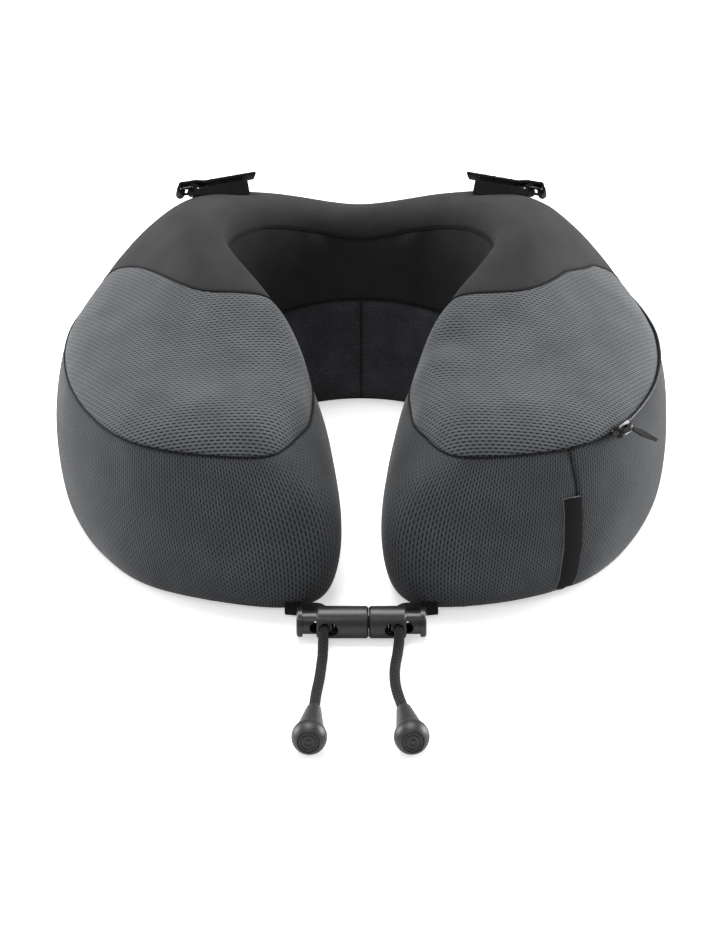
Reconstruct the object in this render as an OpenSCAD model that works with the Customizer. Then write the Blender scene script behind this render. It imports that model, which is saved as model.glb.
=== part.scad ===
// U shaped neck pillow: a moulded foam U in a sewn cover with a zip, two seat straps stored on the
// shoulders, and a two-lock cord clasp that lies in front of the lobes.
// +Z is up, the opening faces -Y, and the origin is on the ground below the middle of the pillow.

/* [Pillow] */
// Overall width across the two sides
pillow_w = 280; // [264:1:300]
// Overall depth from the back to the front of the lobes
pillow_d = 240; // [230:1:256]
// Height of the raised shoulders
shoulder_h = 117; // [106:1:128]
// Height at the middle of the back
back_h = 97; // [88:1:106]
// Height of the lobes at the front end of their crest
lobe_h = 86; // [80:1:96]
// Height of the seam that runs round the sides
seam_h = 70; // [62:1:74]
// Thickness of the back at its middle
back_t = 38; // [32:1:46]
// Radius of the round part of the neck opening
neck_r = 55; // [52:1:58]
// Gap between the two lobes at the front
slot_w = 16; // [13:1:20]
// Depth of each lobe's rounded corner beside the slot
tip_d = 24; // [20:1:30]
// Thickness of the cover's cloth with its backing
cover_t = 1.5; // [1:0.1:2.5]

/* [Zip and label] */
// Radius of the zip's coil
zip_coil_r = 1.1; // [0.8:0.1:1.4]
// Length of the zip's slider along the seam
slider_l = 8.5; // [6:0.5:11]
// Length of the leaf shaped pull
pull_l = 13; // [9:0.5:16]
// Width of the leaf shaped pull
pull_w = 4.4; // [3.6:0.1:5.5]
// Thickness of the leaf shaped pull
pull_t = 1; // [0.8:0.1:1.4]
// Width of the folded label
label_w = 8.5; // [6:0.5:12]
// Thickness of the folded label
label_t = 1; // [0.6:0.1:1.4]

/* [Seat straps] */
// Length of a strap's flap from its ring
strap_l = 36; // [33:1:42]
// Width of the strap webbing
strap_w = 20; // [16:1:25]
// Thickness of one layer of webbing
web_t = 1.3; // [0.9:0.05:1.4]
// Radius of the ring's wire
ring_r = 0.7; // [0.5:0.05:0.75]
// Length of the flap's free lip past the sewn webbing
lip_l = 4.5; // [3:0.5:7]

/* [Clasp] */
// Radius of the two lock barrels
barrel_r = 6.8; // [6.4:0.1:7.2]
// Distance from the middle of the clasp to each barrel's outer end
lock_end = 18.7; // [18:0.1:20]
// Radius of the bore that each plunger slides in
plunger_bore_r = 5.1; // [4.8:0.1:5.3]
// Distance that each plunger can be pressed in
plunger_travel = 3.2; // [2:0.1:3.2]
// Radius of each plunger's end flange
flange_r = 6.2; // [5.6:0.1:6.6]
// Radius of the snap pin that joins the two barrels
snap_r = 2.6; // [2:0.1:3]
// Radius of the spring's wire
spring_wire_r = 0.3; // [0.25:0.05:0.35]
// Turns in each spring
spring_turns = 4; // [3:1:5]
// Diameter of the cord
cord_d = 4.4; // [3.8:0.1:4.4]
// Radius of the bell shaped cord end at its widest
bell_r = 7; // [6.4:0.1:7.6]
// Length of the bell shaped cord end
bell_l = 30; // [26:0.5:34]

/* [Hidden] */

mesh_grey = [0.36, 0.38, 0.40];
jersey_grey = [0.22, 0.22, 0.23];
inner_grey = [0.15, 0.15, 0.17];
trim_black = [0.07, 0.07, 0.08];
foam_cream = [0.93, 0.90, 0.80];
steel = [0.75, 0.76, 0.78];

// ---- Outline of the right half, as stations counted from the middle of the back round the outside,
// ---- the lobe's tip and the inside back to the middle of the back

rear_end = 9;     // station where the rear curve meets the side arc
side_end = 14;    // station where the side arc meets the front curve
front_end = 17;   // front-most point of the lobe
corner_end = 21;  // end of the rounded corner, where the slot begins
slot_end = 24;    // end of the slot's straight flank
flank_end = 29;   // where the flank meets the round neck opening
last = 35;        // middle of the back, inside
crest_end = 14;   // number of stations along the crest

side_r = 160;         // radius of the outer side
side_back_a = 22;     // the side arc reaches this far behind its middle, in degrees
side_front_a = -35;   // and this far in front of it
side_y = 5;
side_c = [pillow_w / 2 - side_r, side_y];
front_x = 38;         // the front-most point of each lobe
neck_c = [0, pillow_d / 2 - back_t - neck_r];
neck_front_a = 5;    // where the round neck opening ends, in degrees
slot_flare = 4.5;      // each flank of the slot opens by this much towards the neck
flank_y = neck_c[1] - neck_r - 24;
edge = 0.01;          // step for the outline's direction, in stations

function polar(c, r, a) = c + r * [cos(a), sin(a)];
function unit(v) = v / norm(v);
function bezier(p, t) =
    pow(1 - t, 3) * p[0] + 3 * t * pow(1 - t, 2) * p[1] + 3 * t * t * (1 - t) * p[2] + pow(t, 3) * p[3];
function ease(t) = t * t * (3 - 2 * t);
function part_of(i, a, b) = (i - a) / (b - a);

side_back = polar(side_c, side_r, side_back_a);
side_front = polar(side_c, side_r, side_front_a);
neck_front = polar(neck_c, neck_r, neck_front_a);
slot_front = [slot_w / 2, -pillow_d / 2 + tip_d];
slot_back = [slot_w / 2 + slot_flare, flank_y];

rear_curve = [[0, pillow_d / 2], [84, pillow_d / 2],
    side_back + 46 * [-sin(side_back_a), cos(side_back_a)], side_back];
front_curve = [side_front, side_front + 22 * [sin(side_front_a), -cos(side_front_a)],
    [front_x + 28, -pillow_d / 2], [front_x, -pillow_d / 2]];
corner_curve = [[front_x, -pillow_d / 2], [front_x - 22, -pillow_d / 2],
    slot_front - [0, 17], slot_front];
slot_curve = [slot_front, slot_front + [0, 12], slot_back - [2, 12], slot_back];
flank_curve = [slot_back, slot_back + [-2, 22], neck_front - [1.5, 12], neck_front];

function outline(i) =
    i <= rear_end ? bezier(rear_curve, part_of(i, 0, rear_end)) :
    i <= side_end ? polar(side_c, side_r,
        side_back_a + (side_front_a - side_back_a) * part_of(i, rear_end, side_end)) :
    i <= front_end ? bezier(front_curve, part_of(i, side_end, front_end)) :
    i <= corner_end ? bezier(corner_curve, part_of(i, front_end, corner_end)) :
    i <= slot_end ? bezier(slot_curve, part_of(i, corner_end, slot_end)) :
    i <= flank_end ? bezier(flank_curve, part_of(i, slot_end, flank_end)) :
    polar(neck_c, neck_r, neck_front_a + (90 - neck_front_a) * part_of(i, flank_end, last));

function heading(i) =
    i <= 0 ? [1, 0] : i >= last ? [-1, 0] : unit(outline(i + edge) - outline(i - edge));
function inward(i) = let (h = heading(i)) [h[1], -h[0]];

// ---- Crest: the line along the top, its height and the pillow's cross-section round it

crest_back = [0, pillow_d / 2 - back_t / 2];
crest_side = [79, 24];
crest_tip = [60, -72];
crest_turn = 6;       // station where the crest's rear curve ends
peak = 5;             // station of the highest point

function crest(j) = j <= crest_turn
    ? bezier([crest_back, crest_back + [46, 0], crest_side + [2, 42], crest_side], j / crest_turn)
    : bezier([crest_side, crest_side - [0, 30], crest_tip + [5, 28], crest_tip],
        part_of(j, crest_turn, crest_end));
function crest_h(j) = j <= peak
    ? back_h + (shoulder_h - back_h) * ease(pow(j / peak, 0.7))
    : shoulder_h + (lobe_h - shoulder_h) * ease(part_of(j, peak, crest_end));
function crest_station(i) = i <= crest_end ? i : i >= last - crest_end ? last - i : crest_end;

// How far the seam lies inside the widest outline, by station
seam_in = [[0, 3], [rear_end, 6], [side_end, 6], [15, 8], [front_end, 16], [19, 24], [20, 24],
    [corner_end, 21], [22, 14], [slot_end, 8], [26, 4], [flank_end, 3], [last, 3]];
// Shape of the dome above the seam, by station: fullness near the crest, then near the seam
crown = [[0, 2.2], [4, 2.3], [rear_end, 2.4], [side_end, 1.9], [front_end, 2.0], [slot_end, 4],
    [26, 7], [flank_end, 6], [last, 3]];
shoulder = [[0, 1.8], [4, 1.7], [rear_end, 1.55], [side_end, 1.4], [front_end, 1.5], [slot_end, 2.7],
    [26, 3], [flank_end, 3], [last, 2]];
// How much of the rounding at the ground each stretch has
foot = [[0, 1], [slot_end, 1], [flank_end, 0.5], [last, 0.5]];

// Rows of the cross-section: 0 is the crest, 4 the seam, 10 the rim of the base, 11 its middle
seam_row = 4;
upper_row = 3;
lower_row = 5;
rim_row = 10;
base_row = 11;
dome_rows = [[0, 0], [1, 0.38], [2, 0.66], [upper_row, 0.87], [seam_row, 1]];
band_heights = [[seam_row, 1], [5, 0.8], [6, 0.6], [7, 0.4], [8, 0.18], [9, 0.06], [rim_row, 0]];
band_drawn_in = [[seam_row, 1], [5, 0.35], [6, 0.05], [7, 0]];
rim_drawn_in = [[7, 0], [8, 2], [9, 5.5], [rim_row, 11]];

// A point of the right half, t inside the cover's face
function half_skin(i, r, t) =
    let (p = outline(i) + t * inward(i))
    let (j = crest_station(i), m = crest(j), h = crest_h(j))
    let (d = norm(p - m), s = lookup(i, seam_in))
    let (u = lookup(r, dome_rows))
    let (reach = r <= seam_row ? u * (d - s)
        : r <= rim_row ? d - s * lookup(r, band_drawn_in) - lookup(i, foot) * lookup(r, rim_drawn_in)
        : 0)
    let (z = r <= seam_row
        ? seam_h + (h - seam_h) * pow(1 - pow(u, lookup(i, crown)), 1 / lookup(i, shoulder))
        : r <= rim_row ? seam_h * lookup(r, band_heights) : 0)
    let (q = m + unit(p - m) * reach)
    [q[0], q[1], t + z * (h - 2 * t) / h];

// The same all the way round: g runs from the middle of the back over the right side and the left
function skin(g, r, t = 0) =
    g < 0 ? skin(g + 2 * last, r, t) : g > 2 * last ? skin(g - 2 * last, r, t) :
    g <= last ? half_skin(g, r, t)
    : let (q = half_skin(2 * last - g, r, t)) [-q[0], q[1], q[2]];

// ---- Solids from triangles

function quad(a, b, c, d) = concat(
    (a == b || b == c || a == c) ? [] : [[a, b, c]],
    (a == c || c == d || a == d) ? [] : [[a, c, d]]);
function join(lists) = [for (l = lists) for (x = l) x];

module solid(triangles) {
    polyhedron(points = join(triangles),
        faces = [for (k = [0 : len(triangles) - 1]) [3 * k, 3 * k + 1, 3 * k + 2]]);
}

function cells(g0, g1, r0, r1) = [for (g = [g0 : g1 - 1]) for (r = [r0 : r1 - 1]) [g, r]];
function face_out(g, r, t) =
    quad(skin(g, r, t), skin(g, r + 1, t), skin(g + 1, r + 1, t), skin(g + 1, r, t));
function face_in(g, r, t) =
    quad(skin(g, r, t), skin(g + 1, r, t), skin(g + 1, r + 1, t), skin(g, r + 1, t));
function wall(a, b, ta, tb) =
    quad(skin(a[0], a[1], ta), skin(b[0], b[1], ta), skin(b[0], b[1], tb), skin(a[0], a[1], tb));

// One piece of cloth: g0, g1, r0, r1 and whether it has a cut edge at each of them
function cloth(p, ta, tb) =
    let (g0 = p[0], g1 = p[1], r0 = p[2], r1 = p[3], cut = p[4])
    concat(
        join([for (c = cells(g0, g1, r0, r1)) face_out(c[0], c[1], ta)]),
        join([for (c = cells(g0, g1, r0, r1)) face_in(c[0], c[1], tb)]),
        !cut[0] ? [] : join([for (r = [r0 : r1 - 1]) wall([g0, r + 1], [g0, r], ta, tb)]),
        !cut[1] ? [] : join([for (r = [r0 : r1 - 1]) wall([g1, r], [g1, r + 1], ta, tb)]),
        !cut[2] ? [] : join([for (g = [g0 : g1 - 1]) wall([g, r0], [g + 1, r0], ta, tb)]),
        !cut[3] ? [] : join([for (g = [g0 : g1 - 1]) wall([g + 1, r1], [g, r1], ta, tb)]));

module panel(pieces) {
    solid(join([for (p = pieces) cloth(p, 0, cover_t)]));
}

// The whole pillow, t inside the cover's face
module pillow_body(t) {
    solid(join([for (c = cells(0, 2 * last, 0, base_row)) face_out(c[0], c[1], t)]));
}

// A tube along points, with each ring square to the path
function path_heading(p, k) = unit(p[min(k + 1, len(p) - 1)] - p[max(k - 1, 0)]);
function ring_points(p, k, r, sides, ref) =
    let (h = path_heading(p, k), s = unit(cross(h, ref[k])), v = cross(s, h))
    [for (n = [0 : sides - 1]) p[k] + r * (cos(360 * n / sides) * s + sin(360 * n / sides) * v)];
module tube(p, r, sides, ref) {
    rings = [for (k = [0 : len(p) - 1]) ring_points(p, k, r, sides, ref)];
    final = len(p) - 1;
    solid(concat(
        join([for (k = [0 : final - 1]) for (n = [0 : sides - 1])
            let (m = (n + 1) % sides)
            quad(rings[k][n], rings[k + 1][n], rings[k + 1][m], rings[k][m])]),
        [for (n = [1 : sides - 2]) [rings[0][0], rings[0][n], rings[0][n + 1]]],
        [for (n = [1 : sides - 2]) [rings[final][0], rings[final][n + 1], rings[final][n]]]));
}

// A smooth curve through points
function spline_point(p, k, t) =
    let (a = p[max(k - 1, 0)], b = p[k], c = p[k + 1], d = p[min(k + 2, len(p) - 1)])
    0.5 * ((2 * b) + (c - a) * t + (2 * a - 5 * b + 4 * c - d) * t * t
        + (3 * b - a - 3 * c + d) * t * t * t);
function spline(p, steps) = concat(
    [for (k = [0 : len(p) - 2]) for (s = [0 : steps - 1]) spline_point(p, k, s / steps)],
    [p[len(p) - 1]]);

module on_left() {
    mirror([1, 0, 0]) children();
}

// ---- Foam and cover

boundary_g = 9;                 // the jersey and the mesh meet at this station outside
neck_g = last - boundary_g;     // and at this one inside the neck
label_g = 15;                   // station of the upright seam
round_g = 2 * last;

module foam_core() {
    color(foam_cream) pillow_body(cover_t);
}

module shoulder_panel() {
    color(jersey_grey) panel([
        [-boundary_g, boundary_g, 0, seam_row, [true, true, false, true]],
        [neck_g, round_g - neck_g, 0, upper_row, [true, true, false, true]]]);
}

module top_mesh_right() {
    color(mesh_grey) panel([[boundary_g, neck_g, 0, seam_row, [true, true, false, true]]]);
}

module top_mesh_left() {
    color(mesh_grey) panel([
        [round_g - neck_g, round_g - boundary_g, 0, seam_row, [true, true, false, true]]]);
}

module side_band_right_front() {
    color(mesh_grey) panel([[label_g, neck_g, seam_row, rim_row, [true, true, true, true]]]);
}

module side_band_right_rear() {
    color(mesh_grey) panel([[0, label_g, seam_row, rim_row, [true, true, true, true]]]);
}

module side_band_left() {
    color(mesh_grey) panel([
        [round_g - neck_g, round_g, seam_row, rim_row, [true, true, true, true]]]);
}

module inner_upper_panel() {
    color(inner_grey) panel([
        [neck_g, round_g - neck_g, upper_row, lower_row, [true, true, true, true]]]);
}

module inner_lower_right() {
    color(inner_grey) panel([[neck_g, last, lower_row, rim_row, [true, true, true, true]]]);
}

module inner_lower_left() {
    color(inner_grey) panel([
        [last, round_g - neck_g, lower_row, rim_row, [true, true, true, true]]]);
}

module base_panel() {
    color(inner_grey) panel([[0, round_g, rim_row, base_row, [false, false, true, false]]]);
}

// A strip of trim that lies on the cover: stations gs, rows rs, from ta to tb inside its face
function between(a, b, f) = a + f * (b - a);
function on_cover(g, r, t) =
    let (g0 = floor(g), r0 = floor(r), f = g - g0, e = r - r0)
    between(between(skin(g0, r0, t), skin(g0 + 1, r0, t), f),
        between(skin(g0, r0 + 1, t), skin(g0 + 1, r0 + 1, t), f), e);
function strip(gs, rs, ta, tb) =
    let (a = [for (g = gs) [for (r = rs) on_cover(g, r, ta)]],
        b = [for (g = gs) [for (r = rs) on_cover(g, r, tb)]],
        m = len(gs) - 1, n = len(rs) - 1)
    join([
        for (i = [0 : m - 1]) for (k = [0 : n - 1]) quad(a[i][k], a[i][k + 1], a[i + 1][k + 1], a[i + 1][k]),
        for (i = [0 : m - 1]) for (k = [0 : n - 1]) quad(b[i][k], b[i + 1][k], b[i + 1][k + 1], b[i][k + 1]),
        for (k = [0 : n - 1]) quad(a[0][k + 1], a[0][k], b[0][k], b[0][k + 1]),
        for (k = [0 : n - 1]) quad(a[m][k], a[m][k + 1], b[m][k + 1], b[m][k]),
        for (i = [0 : m - 1]) quad(a[i][0], a[i + 1][0], b[i + 1][0], b[i][0]),
        for (i = [0 : m - 1]) quad(a[i + 1][n], a[i][n], b[i][n], b[i + 1][n])]);

// The right side of the pillow with a little air round it, to cut what is seated on the cover
seat_gap = 0.15;
seat_depth = 10;
module shoulder_cut() {
    solid(cloth([1, 8, 0, seam_row, [true, true, true, true]], -seat_gap, seat_depth));
}
module foot_cut() {
    solid(cloth([15, 19, 6, rim_row, [true, true, true, true]], -seat_gap, seat_depth));
}

// ---- Zip in the seam of the right side

zip_gap = 0.2;          // air between the coil and the seam
zip_lean = 31;          // the seam faces this far above level
zip_end = 1;            // station where the coil ends at the back
zip_step = 0.25;
slider_gap = 0.25;      // air between the coil and the slider
slider_wall = 1.2;
slider_w = 5;
slider_foot = 0.8;      // the slider's flanges reach this far past the coil's middle
slider_a = -33.7;       // where the slider rests, as a direction from side_c
pin_rise = 2;           // from the slider's face to its cross pin
pin_r = 0.6;
pin_gap = 0.08;
lug_r = 1.1;
lug_in = 1.35;          // from the middle of the cross pin to the lugs
lug_out = 2.05;
lug_root = 0.4;         // how far the lugs go into the slider
eye_r = 1.25;           // the pull's eye
eye_half = 1.2;
pull_swing = 20;        // the pull is turned this far to the rear
pull_dip = 22;          // and hangs this far below level

function flat(q) = [q[0], q[1]];
zip_out = zip_coil_r + zip_gap;
track_r = norm(flat(skin(rear_end, seam_row)) - side_c) + zip_out * cos(zip_lean);
track_z = seam_h + zip_out * sin(zip_lean);
slot_half = zip_coil_r + slider_gap;
slider_top = slot_half + slider_wall;
slider_arc = slider_l / track_r * 180 / PI;
pin_at = [track_r + (slider_top + pin_rise) * cos(zip_lean), 0,
    track_z + (slider_top + pin_rise) * sin(zip_lean)];

function zip_point(g) =
    let (q = skin(g, seam_row), d = flat(q) - side_c, w = g < rear_end ? inward(g) : [0, 0])
    g >= rear_end
    ? [side_c[0] + track_r * d[0] / norm(d), side_c[1] + track_r * d[1] / norm(d), track_z]
    : [q[0] - zip_out * cos(zip_lean) * w[0], q[1] - zip_out * cos(zip_lean) * w[1], track_z];

module zip_chain() {
    path = [for (g = [side_end : -zip_step : zip_end]) zip_point(g)];
    color(trim_black) tube(path, zip_coil_r, 8, [for (p = path) [0, 0, 1]]);
}

module at_slider() {
    translate([side_c[0], side_c[1], 0]) rotate([0, 0, slider_a]) children();
}
module at_pin() {
    at_slider() translate(pin_at) rotate([0, 0, pull_swing]) children();
}

module slider_section() {
    difference() {
        translate([-slider_foot, -slider_w / 2]) square([slider_foot + slider_top, slider_w]);
        translate([-slider_foot - 1, -slot_half]) square([slider_foot + 1 + slot_half, 2 * slot_half]);
    }
}

module slider_body() {
    intersection() {
        rotate([0, 0, -slider_arc / 2]) rotate_extrude(angle = slider_arc, $fn = 360)
            translate([track_r, track_z]) rotate(zip_lean) slider_section();
        translate([track_r, 0, track_z]) rotate([0, 90 - zip_lean, 0])
            cylinder(r = slider_l / 2 + 0.1, h = 4 * slider_top, center = true, $fn = 48);
    }
}

// One lug from the cross pin down into the slider, its middle at y
module lug(y) {
    fall = norm([cos(zip_lean) * cos(pull_swing), sin(zip_lean)]);
    reach = (pin_rise - y * sin(pull_swing) * cos(zip_lean) + lug_root) / fall;
    down = atan2(-sin(zip_lean), -cos(zip_lean) * cos(pull_swing));
    translate([0, y, 0]) rotate([90, 0, 0]) linear_extrude(lug_out - lug_in, center = true) {
        circle(r = lug_r, $fn = 32);
        rotate(down) translate([0, -lug_r]) square([reach, 2 * lug_r]);
    }
}

module zip_slider() {
    color(trim_black) {
        at_slider() slider_body();
        at_pin() {
            for (side = [-1, 1]) lug(side * (lug_in + lug_out) / 2);
            rotate([90, 0, 0]) cylinder(r = pin_r, h = 2 * lug_out, center = true, $fn = 32);
        }
    }
}

module pull_leaf() {
    hull() {
        translate([eye_r + 0.65, 0]) circle(r = 1, $fn = 24);
        translate([0.45 * pull_l, 0]) circle(r = pull_w / 2, $fn = 32);
        translate([pull_l - 0.8, 0]) circle(r = 0.8, $fn = 24);
    }
}

module zip_pull() {
    color(trim_black) at_pin() rotate([0, pull_dip, 0]) difference() {
        union() {
            rotate([90, 0, 0]) cylinder(r = eye_r, h = 2 * eye_half, center = true, $fn = 32);
            translate([0, 0, -pull_t / 2]) linear_extrude(pull_t) pull_leaf();
        }
        rotate([90, 0, 0]) cylinder(r = pin_r + pin_gap, h = 3 * eye_half, center = true, $fn = 32);
    }
}

// ---- Label sewn into the upright seam

label_rows = [5.4, 6, 7, 8, 8.7];
label_gap = 0.2;

module side_label() {
    span = label_w / norm(outline(label_g + 1) - outline(label_g));
    color(trim_black) solid(strip([label_g, label_g + span / 2, label_g + span], label_rows,
        -label_gap - label_t, -label_gap));
}

// ---- Seat straps: local x runs from the ring to the flap's lip, z is away from the pillow

strap_turn = [29.5, -6.5, 170];
strap_g = 3.55;             // station and row of the cover under the strap's middle
strap_row = 1.1;
bar_gap = 0.08;             // air between the ring and the webbing round it
bar_step = 5.5;             // between the ring's two bars
flap_bar_x = 1;
patch_t = 0.95;
patch_gap = 0.1;
patch_in = 1.5;             // from the webbing's edge to the patches
ring_side_gap = 0.4;

web_eye_r = ring_r + bar_gap + web_t;
base_bar_x = flap_bar_x + bar_step;
flap_end = flap_bar_x + strap_l;
base_end = flap_end - lip_l;
patch_x0 = base_bar_x + web_eye_r + 5;
patch_x1 = base_end - patch_in;
loop_top = web_t + patch_t;
flap_low = loop_top + patch_gap + patch_t;
flap_over = 2 * web_eye_r + patch_gap;     // underside of the flap where it passes over the ring

function about_x(v, a) = [v[0], v[1] * cos(a) - v[2] * sin(a), v[1] * sin(a) + v[2] * cos(a)];
function about_y(v, a) = [v[0] * cos(a) + v[2] * sin(a), v[1], v[2] * cos(a) - v[0] * sin(a)];
function about_z(v, a) = [v[0] * cos(a) - v[1] * sin(a), v[0] * sin(a) + v[1] * cos(a), v[2]];
function strap_way(v) = about_z(about_y(about_x(v, strap_turn[0]), strap_turn[1]), strap_turn[2]);

// The strap lies on the highest part of the cover under it
strap_mid = on_cover(strap_g, strap_row, 0);
strap_lift = max([for (g = [2 : 0.5 : 7]) for (r = [0 : 0.5 : seam_row])
    let (q = skin(g, r) - strap_mid)
    abs(q * strap_way([0, 1, 0])) < strap_w / 2 + 2 && abs(q * strap_way([1, 0, 0])) < strap_l / 2 + 2
    ? q * strap_way([0, 0, 1]) : 0]);
strap_at = strap_mid - strap_l / 2 * strap_way([1, 0, 0]) + (strap_lift + seat_gap) * strap_way([0, 0, 1]);

module on_strap() {
    translate(strap_at) rotate(strap_turn) children();
}

// An outline in the strap's x and z, made as wide as the webbing
module webbing(w) {
    rotate([90, 0, 0]) linear_extrude(w, center = true) children();
}
module bar(x, r, w) {
    translate([x, 0, web_eye_r]) rotate([90, 0, 0]) cylinder(r = r, h = w, center = true, $fn = 32);
}

module strap_base() {
    difference() {
        on_strap() difference() {
            union() {
                bar(base_bar_x, web_eye_r, strap_w);
                webbing(strap_w) translate([base_bar_x, -seat_depth / 2])
                    square([base_end - base_bar_x, seat_depth / 2 + web_t]);
            }
            bar(base_bar_x, ring_r + bar_gap, strap_w + 1);
        }
        shoulder_cut();
    }
}

module patch(z) {
    on_strap() translate([patch_x0, patch_in - strap_w / 2, z])
        cube([patch_x1 - patch_x0, strap_w - 2 * patch_in, patch_t]);
}

module strap_flap() {
    low = web_eye_r + ring_r + bar_gap;
    rise = flap_bar_x + 3;
    over = base_bar_x + web_eye_r;
    on_strap() difference() {
        union() {
            bar(flap_bar_x, web_eye_r, strap_w);
            webbing(strap_w) polygon([
                [flap_bar_x, low], [rise, flap_over], [over, flap_over], [over + 4, flap_low],
                [flap_end, flap_low], [flap_end, flap_low + web_t], [over + 4.3, flap_low + web_t],
                [over + 0.3, flap_over + web_t], [rise - 0.3, flap_over + web_t],
                [flap_bar_x, low + web_t]]);
        }
        bar(flap_bar_x, ring_r + bar_gap, strap_w + 1);
    }
}

module strap_ring() {
    half = strap_w / 2 + ring_side_gap + ring_r;
    on_strap() {
        bar(flap_bar_x, ring_r, 2 * half + 1.6 * ring_r);
        bar(base_bar_x, ring_r, 2 * half + 1.6 * ring_r);
        for (side = [-1, 1])
            translate([flap_bar_x - 0.8 * ring_r, side * half, web_eye_r]) rotate([0, 90, 0])
                cylinder(r = 0.9 * ring_r, h = bar_step + 1.6 * ring_r, $fn = 32);
    }
}

module strap_base_right() { color(trim_black) strap_base(); }
module strap_base_left() { color(trim_black) on_left() strap_base(); }
module loop_patch_right() { color(inner_grey) patch(web_t); }
module loop_patch_left() { color(inner_grey) on_left() patch(web_t); }
module hook_patch_right() { color(inner_grey) patch(flap_low - patch_t); }
module hook_patch_left() { color(inner_grey) on_left() patch(flap_low - patch_t); }
module strap_flap_right() { color(trim_black) strap_flap(); }
module strap_flap_left() { color(trim_black) on_left() strap_flap(); }
module strap_ring_right() { color(trim_black) strap_ring(); }
module strap_ring_left() { color(trim_black) on_left() strap_ring(); }

// ---- Clasp: both halves are written as the right one, from the middle of the clasp outwards

clasp_y = -133;
clasp_z = barrel_r + 0.2;
split_x = 3;                // the two barrels meet this far right of the middle
split_gap = 0.05;
fit_gap = 0.1;              // plunger in its bore
snap_gap = 0.05;
snap_seat = 2.2;            // the snap pin's depth in the right barrel
snap_out = 5;               // and how far it stands out into the left one
bore_end = 6.2;             // the plunger's bore stops here
stem_end = 12.4;            // inner end of the plunger
stem_out = 24.6;            // where its flange begins
flange_t = 2.4;
window_r = 3.1;             // the barrel's window for the cord
window_in = 9.7;
cord_x = 15.75;
window_out = cord_x + cord_d / 2;
eye_hole_r = 2.9;           // the plunger's hole for the cord
eye_hole_in = cord_x - cord_d / 2 - fit_gap;
eye_hole_out = eye_hole_in + cord_d + plunger_travel + 0.55;
spring_mean_r = 3.7;
spring_rings = 8;
spring_sides = 6;

module at_clasp() {
    translate([0, clasp_y, clasp_z]) children();
}
module lying(x0, x1, r) {
    translate([x0, 0, 0]) rotate([0, 90, 0]) cylinder(r = r, h = x1 - x0, $fn = 64);
}
module slot_through(x0, x1, r) {
    for (x = [x0 + r, x1 - r]) translate([x, 0, 0]) rotate([90, 0, 0])
        cylinder(r = r, h = 4 * barrel_r, center = true, $fn = 48);
    translate([x0 + r, -2 * barrel_r, -r]) cube([x1 - x0 - 2 * r, 4 * barrel_r, 2 * r]);
}

module barrel(start) {
    edge_cut = 0.8;
    difference() {
        rotate([0, 90, 0]) rotate_extrude($fn = 64) polygon([
            [0, start], [barrel_r - edge_cut, start], [barrel_r, start + edge_cut],
            [barrel_r, lock_end - edge_cut], [barrel_r - edge_cut, lock_end], [0, lock_end]]);
        lying(bore_end, lock_end + 1, plunger_bore_r);
        slot_through(window_in, window_out, window_r);
    }
}

module plunger() {
    rim = 0.6;
    end = stem_out + flange_t;
    difference() {
        rotate([0, 90, 0]) rotate_extrude($fn = 64) polygon([
            [0, stem_end], [plunger_bore_r - fit_gap, stem_end], [plunger_bore_r - fit_gap, stem_out],
            [flange_r, stem_out], [flange_r, end - rim], [flange_r - rim, end], [0, end]]);
        slot_through(eye_hole_in, eye_hole_out, eye_hole_r);
    }
}

function spring_path() =
    let (a = bore_end + 1.2 * spring_wire_r, b = stem_end - 1.2 * spring_wire_r,
        n = spring_turns * spring_rings)
    [for (k = [0 : n]) [a + (b - a) * k / n, spring_mean_r * cos(360 * k / spring_rings),
        spring_mean_r * sin(360 * k / spring_rings)]];
module spring() {
    path = spring_path();
    tube(path, spring_wire_r, spring_sides, [for (p = path) [1, 0, 0]]);
}
echo(spring_gap = min([for (k = [0 : spring_rings * (spring_turns - 1)])
    norm(spring_path()[k + spring_rings] - spring_path()[k])]) - 2 * spring_wire_r);

module clasp_barrel_right() {
    color(trim_black) at_clasp() difference() {
        barrel(split_x + split_gap);
        lying(split_x - 1, split_x + split_gap + snap_seat, snap_r + snap_gap);
    }
}
module clasp_barrel_left() {
    color(trim_black) at_clasp() difference() {
        on_left() barrel(split_gap - split_x);
        lying(split_x - snap_out - 0.5, split_x + 1, snap_r + fit_gap);
    }
}
module clasp_snap_pin() {
    nose = 0.6;
    inner = split_x - snap_out;
    color(trim_black) at_clasp() rotate([0, 90, 0]) rotate_extrude($fn = 64) polygon([
        [0, inner], [snap_r - nose, inner], [snap_r, inner + nose], [snap_r, split_x + snap_seat],
        [0, split_x + snap_seat]]);
}
module clasp_plunger_right() { color(trim_black) at_clasp() plunger(); }
module clasp_plunger_left() { color(trim_black) at_clasp() on_left() plunger(); }
module clasp_spring_right() { color(steel) at_clasp() spring(); }
module clasp_spring_left() { color(steel) at_clasp() on_left() spring(); }

// ---- Cords: the lead comes out of a tab under the lobe, the tail goes through the clasp to its bell

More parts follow.
